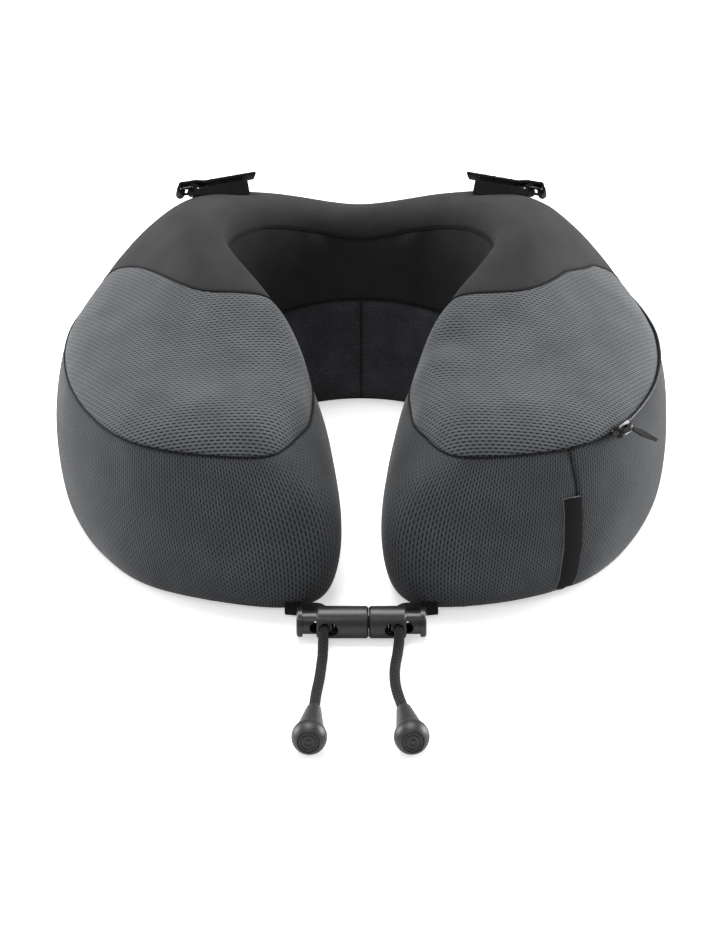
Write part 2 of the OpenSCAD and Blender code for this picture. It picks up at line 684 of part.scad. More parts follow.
cord_sides = 10;
cord_steps = 2;
tab_r = 3;
tab_gap = 0.1;
tab_back = 4.5;             // the tab's length behind the cord's end and in front of it
tab_front = 1.2;
tab_way = -170.5;           // direction in which the right cord leaves its tab
lead_start = [27.6, -116, 3.2];
lead_points = [lead_start, [25.8, -116.3, 3.2], [24.2, -116.6, 3.6], [22.5, -117.2, 4.2],
    [20.7, -118.1, 4.9], [19, -119.3, 5.6], [17.6, -120.8, 6.2], [16.6, -122.4, 6.6],
    [16, -123.9, 6.9], [15.8, -125.2, 7]];
tail_right_points = [[cord_x, -125.9, 7], [cord_x, -130, 7], [cord_x, -134, 7], [cord_x, -138, 6.7],
    [15.7, -141.5, 5.9], [15.5, -145, 4.6], [15.1, -148.5, 3.4], [14.6, -152.5, 2.6],
    [14, -157, 2.3], [13.6, -162, 2.3], [13.5, -168, 2.3], [13.8, -174, 2.3], [14.6, -180, 2.4],
    [15.7, -186.5, 2.7]];
tail_left_points = [[-cord_x, -125.9, 7], [-cord_x, -130, 7], [-cord_x, -134, 7],
    [-cord_x, -138, 6.7], [-cord_x, -141.5, 5.9], [-15.8, -145, 4.6], [-15.9, -148.5, 3.4],
    [-16, -152.5, 2.6], [-16.3, -157, 2.3], [-16.6, -162, 2.3], [-17, -168, 2.3],
    [-17.6, -174, 2.3], [-18.2, -180, 2.4], [-18.6, -186.5, 2.7]];

// Bells: the wide end and the neck both rest on the ground
bell_neck_r = 3.1;
bell_bore = 8;
bell_ball = bell_l - 5.4;   // from the neck to the middle of the ball
bell_rise = asin((bell_r - bell_neck_r) / bell_ball);
bell_shoulder_r = 5.7;
bell_gap = 0.05;
plug_r = 4.2;
plug_l = 4;
bell_right = [16.9, -193, bell_neck_r + 0.1];
bell_left = [-19, -193, bell_neck_r + 0.1];
bell_right_way = -84;
bell_left_way = -93;

function bell_point(at, way, x) =
    at + x * [cos(bell_rise) * cos(way), cos(bell_rise) * sin(way), sin(bell_rise)];
function tail_path(points, at, way) =
    concat(spline(concat(points, [at]), cord_steps), [bell_point(at, way, bell_bore - 0.2)]);
module cord(path) {
    color(trim_black) tube(path, cord_d / 2, cord_sides, [for (p = path) [0, 0, 1]]);
}

module cord_tab() {
    difference() {
        translate(lead_start) rotate([0, 90, tab_way]) difference() {
            translate([0, 0, -tab_back]) cylinder(r = tab_r, h = tab_back + tab_front, $fn = 48);
            translate([0, 0, -tab_gap]) cylinder(r = cord_d / 2 + tab_gap, h = tab_front + 1, $fn = 48);
        }
        foot_cut();
    }
}
module cord_tab_right() { color(trim_black) cord_tab(); }
module cord_tab_left() { color(trim_black) on_left() cord_tab(); }
module cord_lead_right() { cord(spline(lead_points, cord_steps)); }
module cord_lead_left() { on_left() cord(spline(lead_points, cord_steps)); }
module cord_tail_right() { cord(tail_path(tail_right_points, bell_right, bell_right_way)); }
module cord_tail_left() { cord(tail_path(tail_left_points, bell_left, bell_left_way)); }

module at_bell(at, way) {
    translate(at) rotate([0, 90 - bell_rise, way]) children();
}
module bell() {
    difference() {
        union() {
            cylinder(r1 = bell_neck_r, r2 = bell_shoulder_r, h = bell_ball - 4, $fn = 64);
            translate([0, 0, bell_ball]) sphere(r = bell_r, $fn = 64);
        }
        translate([0, 0, -1]) cylinder(r = cord_d / 2 + bell_gap, h = bell_bore + 1, $fn = 48);
        translate([0, 0, bell_l - plug_l]) cylinder(r = plug_r + bell_gap, h = 2 * plug_l, $fn = 64);
        translate([0, 0, bell_l]) cylinder(r = 2 * bell_r, h = bell_r, $fn = 64);
    }
}
module bell_plug() {
    translate([0, 0, bell_l - plug_l]) rotate_extrude($fn = 64)
        polygon([[0, 0], [plug_r, 0], [plug_r, plug_l - 0.4], [plug_r - 0.5, plug_l], [0, plug_l - 0.3]]);
}
module cord_bell_right() { color(trim_black) at_bell(bell_right, bell_right_way) bell(); }
module cord_bell_left() { color(trim_black) at_bell(bell_left, bell_left_way) bell(); }
module bell_plug_right() { color(trim_black) at_bell(bell_right, bell_right_way) bell_plug(); }
module bell_plug_left() { color(trim_black) at_bell(bell_left, bell_left_way) bell_plug(); }

foam_core();
shoulder_panel();
top_mesh_left();
top_mesh_right();
side_band_left();
side_band_right_front();
side_band_right_rear();
inner_upper_panel();
inner_lower_left();
inner_lower_right();
base_panel();
zip_chain();
zip_slider();
zip_pull();
side_label();
strap_base_left();
strap_base_right();
loop_patch_left();
loop_patch_right();
strap_ring_left();
strap_ring_right();
strap_flap_left();
strap_flap_right();
hook_patch_left();
hook_patch_right();
clasp_barrel_left();
clasp_barrel_right();
clasp_plunger_left();
clasp_plunger_right();
clasp_spring_left();
clasp_spring_right();
clasp_snap_pin();
cord_tab_left();
cord_tab_right();
cord_lead_left();
cord_lead_right();
cord_tail_left();
cord_tail_right();
cord_bell_left();
cord_bell_right();
bell_plug_left();
bell_plug_right();
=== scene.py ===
"""A u shaped neck pillow: foam in a sewn mesh and jersey cover, a side zip, two seat straps
folded on the shoulders, and a two-lock cord clasp in front. Metres, +Z up, opening at -Y."""

import math

import bmesh
import bpy
from mathutils import Euler, Matrix, Vector, noise


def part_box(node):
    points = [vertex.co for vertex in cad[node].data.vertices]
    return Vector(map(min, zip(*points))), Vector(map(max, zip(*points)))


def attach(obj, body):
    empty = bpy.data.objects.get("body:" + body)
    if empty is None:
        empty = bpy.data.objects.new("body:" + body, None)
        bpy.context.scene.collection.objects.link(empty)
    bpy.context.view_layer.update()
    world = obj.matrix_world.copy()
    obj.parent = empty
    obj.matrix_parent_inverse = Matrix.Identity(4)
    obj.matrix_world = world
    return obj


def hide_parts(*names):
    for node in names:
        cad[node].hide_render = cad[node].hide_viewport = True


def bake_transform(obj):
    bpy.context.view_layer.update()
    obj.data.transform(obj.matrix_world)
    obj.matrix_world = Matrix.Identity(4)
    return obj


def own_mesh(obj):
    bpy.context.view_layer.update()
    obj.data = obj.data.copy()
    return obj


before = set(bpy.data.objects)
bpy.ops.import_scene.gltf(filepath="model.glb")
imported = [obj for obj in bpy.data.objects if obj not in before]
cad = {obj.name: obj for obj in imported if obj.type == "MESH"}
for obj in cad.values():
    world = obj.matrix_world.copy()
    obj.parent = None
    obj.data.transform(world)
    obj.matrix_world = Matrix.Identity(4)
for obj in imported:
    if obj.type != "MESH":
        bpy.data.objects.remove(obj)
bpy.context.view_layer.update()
MM = 0.001


# Camera. It stands in front of the opening and looks down on the lobes, and the pillow
# lies a little above the middle of a tall frame.
camera_place = Vector((-0.6, -1027.8, 562.6)) * MM
camera_dip = 28.25
camera_data = bpy.data.cameras.new("camera")
camera_data.sensor_fit = "VERTICAL"
camera_data.sensor_height = 36
camera_data.lens = 97.8
camera_data.clip_start = 0.02
camera = bpy.data.objects.new("camera", camera_data)
camera.location = camera_place
camera.rotation_euler = (math.radians(90 - camera_dip), 0, 0)
bpy.context.scene.collection.objects.link(camera)
bpy.context.scene.camera = camera


# Cords. One round braided cord comes out of a sewn tab under each lobe, passes through its half
# of the clasp and ends in a bell.
cord_d = 4.4 * MM
cord_sides = 24
cord_step = 1.2 * MM
lead_way = [(27.6, -116, 3.2), (25.8, -116.3, 3.2), (24.2, -116.6, 3.6), (22.5, -117.2, 4.2),
            (20.7, -118.1, 4.9), (19, -119.3, 5.6), (17.6, -120.8, 6.2), (16.6, -122.4, 6.6),
            (16, -123.9, 6.9), (15.8, -125.2, 7)]
tail_way = {
    1: [(15.75, -130, 7), (15.75, -134, 7), (15.75, -138, 6.7), (15.7, -141.5, 5.9),
        (15.5, -145, 4.6), (15.1, -148.5, 3.4), (14.6, -152.5, 2.6), (14, -157, 2.3),
        (13.6, -162, 2.3), (13.5, -168, 2.3), (13.8, -174, 2.3), (14.6, -180, 2.4),
        (15.7, -186.5, 2.7), (16.9, -193, 3.2)],
    -1: [(15.75, -130, 7), (15.75, -134, 7), (15.75, -138, 6.7), (15.75, -141.5, 5.9),
         (15.8, -145, 4.6), (15.9, -148.5, 3.4), (16, -152.5, 2.6), (16.3, -157, 2.3),
         (16.6, -162, 2.3), (17, -168, 2.3), (17.6, -174, 2.3), (18.2, -180, 2.4),
         (18.6, -186.5, 2.7), (19, -193, 3.2)],
}
bell_r, bell_neck_r, bell_ball = 7, 3.1, 24.6
bell_rise = math.asin((bell_r - bell_neck_r) / bell_ball)
bell_way = {1: math.radians(-84), -1: math.radians(-93)}
cord_in_bell = 7.8 * MM
sides = {1: "right", -1: "left"}


def smooth_way(points, step):
    """A smooth curve through the points, with a point about every step."""
    line = []
    for k in range(len(points) - 1):
        a, b, c, d = (points[min(max(k + n, 0), len(points) - 1)] for n in (-1, 0, 1, 2))
        parts = max(1, round((c - b).length / step))
        for n in range(parts):
            t = n / parts
            line.append(0.5 * (2 * b + (c - a) * t + (2 * a - 5 * b + 4 * c - d) * t * t
                               + (3 * b - a - 3 * c + d) * t ** 3))
    return line + [points[-1]]


def new_piece(name, bm, material, body="pillow"):
    """A bmesh becomes a piece that rides on a body and takes its finish from a slot."""
    mesh = bpy.data.meshes.new(name)
    bm.to_mesh(mesh)
    bm.free()
    piece = bpy.data.objects.new(name, mesh)
    bpy.context.scene.collection.objects.link(piece)
    for finish in material if isinstance(material, list) else [material]:
        mesh.materials.append(finish)
    mesh.polygons.foreach_set("use_smooth", [True] * len(mesh.polygons))
    if body:
        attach(piece, body)
    return piece


def sweep(bm, way, radius, sides, closed=False):
    """Rings along a way, bridged into a tube whose UV runs along it and round it in metres."""
    uv = bm.loops.layers.uv.verify()
    rings, place, along, run = [], {}, [], 0.0
    last = len(way) - 1
    side = None
    for k, point in enumerate(way):
        ahead = way[(k + 1) % len(way)] if closed else way[min(k + 1, last)]
        behind = way[k - 1] if closed or k else way[0]
        heading = (ahead - behind).normalized()
        if side is None:
            side = heading.cross(Vector((0, 0, 1)))
            side = side if side.length > 1e-3 else heading.cross(Vector((1, 0, 0)))
        side = (side - heading * side.dot(heading)).normalized()
        over = side.cross(heading)
        turn = Matrix((side, over, heading)).transposed().to_4x4()
        made = bmesh.ops.create_circle(bm, radius=radius, segments=sides,
                                       matrix=Matrix.Translation(point) @ turn)["verts"]
        place.update({v: (k, n) for n, v in enumerate(made)})
        rings.append(made)
        run += (point - way[k - 1]).length if k else 0
        along.append(run)
    loops = [list({e for v in ring for e in v.link_edges}) for ring in rings]
    pairs = list(zip(range(last), range(1, last + 1))) + ([(last, 0)] if closed else [])
    for a, b in pairs:
        for face in bmesh.ops.bridge_loops(bm, edges=loops[a] + loops[b])["faces"]:
            rounds = [place[v][1] for v in face.verts]
            wraps = max(rounds) - min(rounds) > 1
            for loop in face.loops:
                ring, n = place[loop.vert]
                length = along[ring] if not (closed and b == 0 and ring == 0) \
                    else run + (way[0] - way[-1]).length
                loop[uv].uv = (length, (n + sides * (wraps and n == 0)) / sides
                               * 2 * math.pi * radius)
    if not closed:
        for ring in (loops[0], loops[-1]):
            bmesh.ops.contextual_create(bm, geom=ring)
    return rings


cord_lines = {}
for hand, side_name in sides.items():
    points = lead_way + tail_way[hand]
    points = [Vector((hand * x, y, z)) * MM for x, y, z in points]
    inward = Vector((math.cos(bell_rise) * math.cos(bell_way[hand]),
                     math.cos(bell_rise) * math.sin(bell_way[hand]), math.sin(bell_rise)))
    cord_lines[hand] = smooth_way(points, cord_step) + [points[-1] + inward * cord_in_bell * k / 5
                                                         for k in range(1, 6)]


# Finishes that several pieces share. Each effect is one node group: it puts out a mask and a
# height from the place on the piece, and the shader stays in the material itself.
def node_group(name, inputs, outputs):
    """A new shader node group with its named sockets and its two end nodes."""
    group = bpy.data.node_groups.new(name, "ShaderNodeTree")
    for label, kind, value in inputs:
        socket = group.interface.new_socket(label, in_out="INPUT", socket_type=kind)
        if value is not None:
            socket.default_value = value
    for label, kind in outputs:
        group.interface.new_socket(label, in_out="OUTPUT", socket_type=kind)
    return group, group.nodes.new("NodeGroupInput"), group.nodes.new("NodeGroupOutput")


def maths(tree, kind, *values):
    """One Math node; a value is a number or a socket."""
    made = tree.nodes.new("ShaderNodeMath")
    made.operation = kind
    for socket, value in zip(made.inputs, values):
        if isinstance(value, (int, float)):
            socket.default_value = value
        else:
            tree.links.new(value, socket)
    return made.outputs[0]


FLOAT, VECTOR = "NodeSocketFloat", "NodeSocketVector"

holes_group, take, give = node_group(
    "cloth_holes",
    [("Place", VECTOR, None), ("Length pitch", FLOAT, 3.2), ("Row pitch", FLOAT, 1.9),
     ("Hole length", FLOAT, 0.34), ("Hole height", FLOAT, 0.2)],
    [("Hole", FLOAT), ("Height", FLOAT)])
split = holes_group.nodes.new("ShaderNodeSeparateXYZ")
holes_group.links.new(take.outputs["Place"], split.inputs[0])
row = maths(holes_group, "DIVIDE", split.outputs[1], take.outputs["Row pitch"])
whole_row = maths(holes_group, "FLOOR", row)
odd = maths(holes_group, "MULTIPLY", maths(holes_group, "PINGPONG", whole_row, 1.0), 0.5)
column = maths(holes_group, "ADD",
               maths(holes_group, "DIVIDE", split.outputs[0], take.outputs["Length pitch"]), odd)
across = maths(holes_group, "SUBTRACT", maths(holes_group, "FRACT", column), 0.5)
upward = maths(holes_group, "SUBTRACT", maths(holes_group, "FRACT", row), 0.5)
away = maths(holes_group, "ADD",
             maths(holes_group, "POWER", maths(
                 holes_group, "ABSOLUTE",
                 maths(holes_group, "DIVIDE", across, take.outputs["Hole length"])), 2.5),
             maths(holes_group, "POWER", maths(
                 holes_group, "ABSOLUTE",
                 maths(holes_group, "DIVIDE", upward, take.outputs["Hole height"])), 2.0))
fade = holes_group.nodes.new("ShaderNodeMapRange")
fade.interpolation_type = "SMOOTHSTEP"
fade.inputs["From Min"].default_value = 1.5
fade.inputs["From Max"].default_value = 0.45
holes_group.links.new(away, fade.inputs["Value"])
yarn = maths(holes_group, "MULTIPLY",
             maths(holes_group, "SINE", maths(holes_group, "MULTIPLY", split.outputs[0], 14.0)),
             0.12)
holes_group.links.new(fade.outputs[0], give.inputs["Hole"])
holes_group.links.new(maths(holes_group, "ADD", maths(
    holes_group, "SUBTRACT", 1.0, fade.outputs[0]), yarn), give.inputs["Height"])

knit_group, take, give = node_group(
    "fine_knit", [("Place", VECTOR, None), ("Stitch", FLOAT, 0.8)], [("Height", FLOAT)])
split = knit_group.nodes.new("ShaderNodeSeparateXYZ")
knit_group.links.new(take.outputs["Place"], split.inputs[0])
wale = maths(knit_group, "DIVIDE", split.outputs[0], take.outputs["Stitch"])
course = maths(knit_group, "DIVIDE", split.outputs[1], take.outputs["Stitch"])
rib = maths(knit_group, "ABSOLUTE", maths(knit_group, "SINE",
                                          maths(knit_group, "MULTIPLY", wale, math.pi)))
slant = maths(knit_group, "ADD", maths(knit_group, "MULTIPLY", course, 2 * math.pi),
              maths(knit_group, "MULTIPLY", rib, 1.6))
knit_group.links.new(
    maths(knit_group, "ADD", maths(knit_group, "MULTIPLY", rib, 0.6),
          maths(knit_group, "MULTIPLY", maths(knit_group, "SINE", slant), 0.4)),
    give.inputs["Height"])

mottle_group, take, give = node_group(
    "mottle", [("Place", VECTOR, None), ("Scale", FLOAT, 60.0), ("Low", FLOAT, 0.85),
               ("High", FLOAT, 1.12)], [("Shade", FLOAT), ("Grain", FLOAT)])
broad = mottle_group.nodes.new("ShaderNodeTexNoise")
broad.inputs["Detail"].default_value = 3
mottle_group.links.new(take.outputs["Place"], broad.inputs["Vector"])
mottle_group.links.new(take.outputs["Scale"], broad.inputs["Scale"])
spread = mottle_group.nodes.new("ShaderNodeMapRange")
spread.inputs["From Min"].default_value = 0.3
spread.inputs["From Max"].default_value = 0.7
mottle_group.links.new(broad.outputs["Fac"], spread.inputs["Value"])
mottle_group.links.new(take.outputs["Low"], spread.inputs["To Min"])
mottle_group.links.new(take.outputs["High"], spread.inputs["To Max"])
fine = mottle_group.nodes.new("ShaderNodeTexNoise")
fine.inputs["Detail"].default_value = 2
mottle_group.links.new(take.outputs["Place"], fine.inputs["Vector"])
mottle_group.links.new(maths(mottle_group, "MULTIPLY", take.outputs["Scale"], 30.0),
                       fine.inputs["Scale"])
mottle_group.links.new(spread.outputs[0], give.inputs["Shade"])
mottle_group.links.new(fine.outputs["Fac"], give.inputs["Grain"])


def finish_of(name, roughness, sheen=0.0, sheen_roughness=0.5, specular=0.5, metallic=0.0,
              coat=0.0):
    """A material with its shader, whose plain numbers sit on the shader's own sockets."""
    material = bpy.data.materials.new(name)
    material.use_nodes = True
    tree = material.node_tree
    shader = tree.nodes["Principled BSDF"]
    shader.inputs["Roughness"].default_value = roughness
    shader.inputs["Metallic"].default_value = metallic
    shader.inputs["Specular IOR Level"].default_value = specular
    shader.inputs["Sheen Weight"].default_value = sheen
    shader.inputs["Sheen Roughness"].default_value = sheen_roughness
    shader.inputs["Coat Weight"].default_value = coat
    shader.inputs["Coat Roughness"].default_value = 0.1
    return material, tree, shader


def place_in(tree, group, **values):
    """A group placed in a material, with its own values or links."""
    made = tree.nodes.new("ShaderNodeGroup")
    made.node_tree = group
    for label, value in values.items():
        socket = made.inputs[label.replace("_", " ")]
        if isinstance(value, (int, float)):
            socket.default_value = value
        else:
            tree.links.new(value, socket)
    return made


def uv_place(tree, turned=False):
    """The piece's own UV in millimetres, turned a quarter where the cloth is."""
    unit = 1 / MM
    source = tree.nodes.new("ShaderNodeTexCoord")
    mapping = tree.nodes.new("ShaderNodeMapping")
    mapping.inputs["Scale"].default_value = (unit, unit, unit)
    mapping.inputs["Rotation"].default_value = (0, 0, math.pi / 2 if turned else 0)
    tree.links.new(source.outputs["UV"], mapping.inputs["Vector"])
    return mapping.outputs[0]


def object_place(tree):
    """The place on the piece in metres."""
    return tree.nodes.new("ShaderNodeTexCoord").outputs["Object"]


def shaded(tree, colour, shade, dark=None, mask=None):
    """A colour times a shade, and another colour where the mask is."""
    tone = tree.nodes.new("ShaderNodeMix")
    tone.data_type = "RGBA"
    tone.blend_type = "MULTIPLY"
    tone.inputs["Factor"].default_value = 1.0
    tone.inputs["A"].default_value = (*colour, 1)
    grey = tree.nodes.new("ShaderNodeCombineColor")
    for channel in grey.inputs:
        tree.links.new(shade, channel)
    tree.links.new(grey.outputs[0], tone.inputs["B"])
    if mask is None:
        return tone.outputs["Result"]
    both = tree.nodes.new("ShaderNodeMix")
    both.data_type = "RGBA"
    tree.links.new(mask, both.inputs["Factor"])
    tree.links.new(tone.outputs["Result"], both.inputs["A"])
    both.inputs["B"].default_value = (*dark, 1)
    return both.outputs["Result"]


def raise_surface(tree, shader, height, depth, strength=1.0):
    """A bump from a height, as deep as the real relief."""
    bump = tree.nodes.new("ShaderNodeBump")
    bump.inputs["Distance"].default_value = depth
    bump.inputs["Strength"].default_value = strength
    tree.links.new(height, bump.inputs["Height"])
    tree.links.new(bump.outputs[0], shader.inputs["Normal"])


def mesh_cloth(name, colour, hole, turned, length_pitch, row_pitch, hole_length):
    """Knitted mesh: soft grey yarn with staggered short holes."""
    material, tree, shader = finish_of(name, 0.9, sheen=0.3, sheen_roughness=0.28, specular=0.15)
    holes = place_in(tree, holes_group, Place=uv_place(tree, turned), Length_pitch=length_pitch,
                     Row_pitch=row_pitch, Hole_length=hole_length, Hole_height=0.22)
    mottle = place_in(tree, mottle_group, Place=object_place(tree))
    tree.links.new(shaded(tree, colour, mottle.outputs["Shade"], hole, holes.outputs["Hole"]),
                   shader.inputs["Base Color"])
    raise_surface(tree, shader, holes.outputs["Height"], 0.3 * MM, 0.8)
    return material


def knit_cloth(name, colour, stitch=0.8, sheen=0.2, low=0.85, high=1.12, depth=0.12):
    """Fine knitted or woven cloth with a soft, slightly uneven tone."""
    material, tree, shader = finish_of(name, 0.9, sheen=sheen, specular=0.12)
    knit = place_in(tree, knit_group, Place=uv_place(tree), Stitch=stitch)
    mottle = place_in(tree, mottle_group, Place=object_place(tree), Low=low, High=high)
    fuzz = maths(tree, "ADD", knit.outputs["Height"], mottle.outputs["Grain"])
    tree.links.new(shaded(tree, colour, mottle.outputs["Shade"]), shader.inputs["Base Color"])
    raise_surface(tree, shader, fuzz, depth * MM)
    return material


def moulded(name, colour, roughness=0.35, metallic=0.0, coat=0.0, grain=0.02):
    """Moulded plastic or cast metal with a faint grain and slight differences in gloss."""
    material, tree, shader = finish_of(name, roughness, metallic=metallic, coat=coat)
    mottle = place_in(tree, mottle_group, Place=object_place(tree), Scale=140.0)
    tree.links.new(shaded(tree, colour, mottle.outputs["Shade"]), shader.inputs["Base Color"])
    tree.links.new(maths(tree, "MULTIPLY_ADD", mottle.outputs["Grain"], 0.16, roughness - 0.08),
                   shader.inputs["Roughness"])
    raise_surface(tree, shader, mottle.outputs["Grain"], grain * MM)
    return material


top_mesh = mesh_cloth("top_mesh", (0.120, 0.127, 0.134), (0.017, 0.018, 0.020), False,
                      2.6, 1.5, 0.40)
band_mesh = mesh_cloth("band_mesh", (0.074, 0.079, 0.085), (0.013, 0.014, 0.016), True,
                       2.3, 1.25, 0.42)
jersey = knit_cloth("shoulder_jersey", (0.038, 0.037, 0.038), stitch=0.7, sheen=0.05)
inner_jersey = knit_cloth("inner_jersey", (0.025, 0.024, 0.026), stitch=0.7, sheen=0.03)
brushed_cloth = knit_cloth("brushed_cloth", (0.044, 0.044, 0.050), 1.4, 0.08, 0.7, 1.25, 0.3)
base_cloth = knit_cloth("base_cloth", (0.030, 0.030, 0.033), 1.0, 0.05)
plastic = moulded("black_plastic", (0.013, 0.013, 0.014), 0.34, coat=0.15)


# Cover. Ten panels of stretch cloth are sewn together and pulled over the moulded foam. They are
# cut from one smooth skin over the whole pillow, and each panel's edge turns in at its seam.
panels = {
    "shoulder_panel": (jersey, "jersey", 0), "top_mesh_right": (top_mesh, "mesh_cloth", 0),
    "top_mesh_left": (top_mesh, "mesh_cloth", 0),
    "side_band_right_front": (band_mesh, "mesh_cloth", 1),
    "side_band_right_rear": (band_mesh, "mesh_cloth", 1),
    "side_band_left": (band_mesh, "mesh_cloth", 1),
    "inner_upper_panel": (inner_jersey, "inner_cloth", 1),
    "inner_lower_right": (brushed_cloth, "inner_cloth", 1),
    "inner_lower_left": (brushed_cloth, "inner_cloth", 1),
    "base_panel": (base_cloth, "inner_cloth", 0),
}
cover_t = 1.2 * MM
seam_z = 70 * MM
seam_crease, base_crease = 0.75, 0.35
seam_depth = 0.55 * MM
ground_z = 0.05 * MM


def on_foam(v, foam):
    """Whether a point of a panel lies on the foam, and so on the panel's underside."""
    return tuple(round(c * 1e5) for c in v.co) in foam


panel_names = list(panels)
base_number = panel_names.index("base_panel")


def cover_control():
    """The outer faces of all the panels as one closed net of four-sided faces."""
    foam = {tuple(round(c * 1e5) for c in v.co) for v in cad["foam_core"].data.vertices}
    bm = bmesh.new()
    for number, name in enumerate(panels):
        start = len(bm.faces)
        bm.from_mesh(cad[name].data)
        bm.faces.ensure_lookup_table()
        for face in bm.faces[start:]:
            face.material_index = number
    bmesh.ops.remove_doubles(bm, verts=bm.verts, dist=2e-5)
    under = [f for f in bm.faces if any(on_foam(v, foam) for v in f.verts)]
    bmesh.ops.delete(bm, geom=under, context="FACES")
    bmesh.ops.join_triangles(bm, faces=bm.faces[:], cmp_materials=True,
                             angle_face_threshold=math.pi, angle_shape_threshold=math.pi,
                             topology_influence=2.0)
    crease = bm.edges.layers.float.new("crease_edge")
    for edge in bm.edges:
        kinds = {f.material_index for f in edge.link_faces}
        level = all(abs(v.co.z - seam_z) < 1e-4 for v in edge.verts)
        if len(kinds) == 2 and level:
            edge[crease] = seam_crease
        elif len(kinds) == 2 and base_number in kinds:
            edge[crease] = base_crease
    return bm


def subdivided(bm, levels):
    """The smooth mesh of a net, through Blender's own Subdivision Surface."""
    mesh = bpy.data.meshes.new("net")
    bm.to_mesh(mesh)
    net = bpy.data.objects.new("net", mesh)
    bpy.context.scene.collection.objects.link(net)
    smooth = net.modifiers.new("smooth", "SUBSURF")
    smooth.levels = smooth.render_levels = levels
    made = bpy.data.meshes.new_from_object(net.evaluated_get(
        bpy.context.evaluated_depsgraph_get()))
    bpy.data.objects.remove(net)
    return made


# Subdivision draws the net in, so its points are first moved out by a share of what it takes.
draw_in_share, draw_in_rounds = 0.35, 2
control = cover_control()
cad_places = [v.co.copy() for v in control.verts]
for _ in range(draw_in_rounds):
    limit = subdivided(control, 1)
    for v, start in zip(control.verts, cad_places):
        v.co += draw_in_share * (start - limit.vertices[v.index].co)
skin_mesh = subdivided(control, 2)
foam_mesh = subdivided(control, 2)

neck = Vector((0, 27, 0))
inner_folds_x = (-21, 23)
lobe_dent = ((38, -40, 88), (11, 7, 14), -3.2)
lobe_swell = ((33, -55, 86), (11, 7, 14), 1.7)


def bump_at(p, centre, size, height):
    """A round soft rise or dip of the cloth, in millimetres."""
    d = Vector([(a - b) / s for a, b, s in zip(p, centre, size)])
    return height * math.exp(-d.length_squared)


def cloth_rise(p, panel):
    """How far the cloth stands off the foam at a point, in millimetres: slack, folds, dimples."""
    rise = 0.45 * noise.noise(p * 0.022) + 0.22 * noise.noise(p * 0.06 + Vector((7, 1, 3)))
    angle = math.atan2(p.y - neck.y, p.x)
    if panel in ("inner_lower_right", "inner_lower_left"):
        wave = noise.noise(Vector((angle * 11, p.z * 0.018, 4.0)))
        rise += 1.6 * wave * math.sin(math.pi * min(max(p.z / 62, 0), 1))
    if panel == "inner_upper_panel":
        for x in inner_folds_x:
            rise += bump_at(p, (x, p.y, 82), (3.2, 1, 22), 1.9)
            rise += bump_at(p, (x + 7, p.y, 80), (3.5, 1, 20), -1.0)
    if panel.startswith("side_band"):
        rise += 0.35 * noise.noise(Vector((angle * 7, p.z * 0.03, 1.0)))
    return rise + bump_at(p, *lobe_dent) + bump_at(p, *lobe_swell)


resting_z = 1 * MM
skin = bmesh.new()
skin.from_mesh(skin_mesh)
skin.normal_update()
out_of = skin.verts.layers.float_vector.new("out")
normals = {v: v.normal.copy() for v in skin.verts}
for v in skin.verts:
    v[out_of] = normals[v]
    number = min(f.material_index for f in v.link_faces)
    if v.co.z > resting_z:
        v.co += normals[v] * cloth_rise(v.co / MM, panel_names[number]) * MM
    v.co.z = max(v.co.z, ground_z)

seam_lines = {}
for edge in skin.edges:
    kinds = tuple(sorted(f.material_index for f in edge.link_faces))
    if kinds[0] != kinds[1]:
        seam_lines.setdefault(kinds, []).append(
            [(v.co.copy(), v[out_of].copy()) for v in edge.verts])


def unwrapped(piece, upright):
    """Blender's unwrap, then the map is set to metres and its grain is laid across or upright."""
    bpy.context.view_layer.objects.active = piece
    piece.select_set(True)
    bpy.ops.object.mode_set(mode="EDIT")
    bpy.ops.mesh.select_all(action="SELECT")
    bpy.ops.uv.unwrap(method="ANGLE_BASED", margin=0.0)
    bpy.ops.object.mode_set(mode="OBJECT")
    piece.select_set(False)
    mesh = piece.data
    layer = mesh.uv_layers.active.data
    flat = real = 0.0
    lean = Vector((0, 0))
    for face in mesh.polygons:
        ids = list(face.loop_indices)[:3]
        a, b, c = (layer[i].uv for i in ids)
        p, q, r = (mesh.vertices[mesh.loops[i].vertex_index].co for i in ids)
        area = (b - a).cross(c - a)
        flat += abs(area) / 2
        real += (q - p).cross(r - p).length / 2
        if abs(area) < 1e-12:
            continue
        along_u = ((q - p) * (c - a).y - (r - p) * (b - a).y) / area
        along_v = ((r - p) * (b - a).x - (q - p) * (c - a).x) / area
        if upright:
            lean += Vector((along_v.z, along_u.z)) * abs(area)
        else:
            lean += Vector((along_u.x, -along_v.x)) * abs(area)
    size = math.sqrt(real / flat)
    turn = math.atan2(lean.y, lean.x)
    cos, sin = math.cos(turn) * size, math.sin(turn) * size
    for spot in layer:
        u, v = spot.uv
        spot.uv = (u * cos - v * sin, u * sin + v * cos)


def panel_piece(number, name):
    """One panel: its own faces of the skin, its map, an edge drawn in, and a cloth's thickness."""
    material, slot, upright = panels[name]
    bm = skin.copy()
    other = [f for f in bm.faces if f.material_index != number]
    bmesh.ops.delete(bm, geom=other, context="FACES")
    for face in bm.faces:
        face.material_index = 0
    piece = new_piece(name + "_cloth", bm, material, None)
    unwrapped(piece, upright)
    bm = bmesh.new()
    bm.from_mesh(piece.data)
    out = bm.verts.layers.float_vector["out"]
    for v in bm.verts:
        if v.is_boundary:
            v.co -= v[out] * seam_depth
        v.co.z = max(v.co.z, 0.0)
    bm.to_mesh(piece.data)
    bm.free()
    smooth = piece.modifiers.new("smooth", "SUBSURF")
    smooth.levels = smooth.render_levels = 1
    wall = piece.modifiers.new("cloth", "SOLIDIFY")
    wall.thickness = cover_t
    wall.offset = -1
    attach(piece, "pillow")
    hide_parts(name)


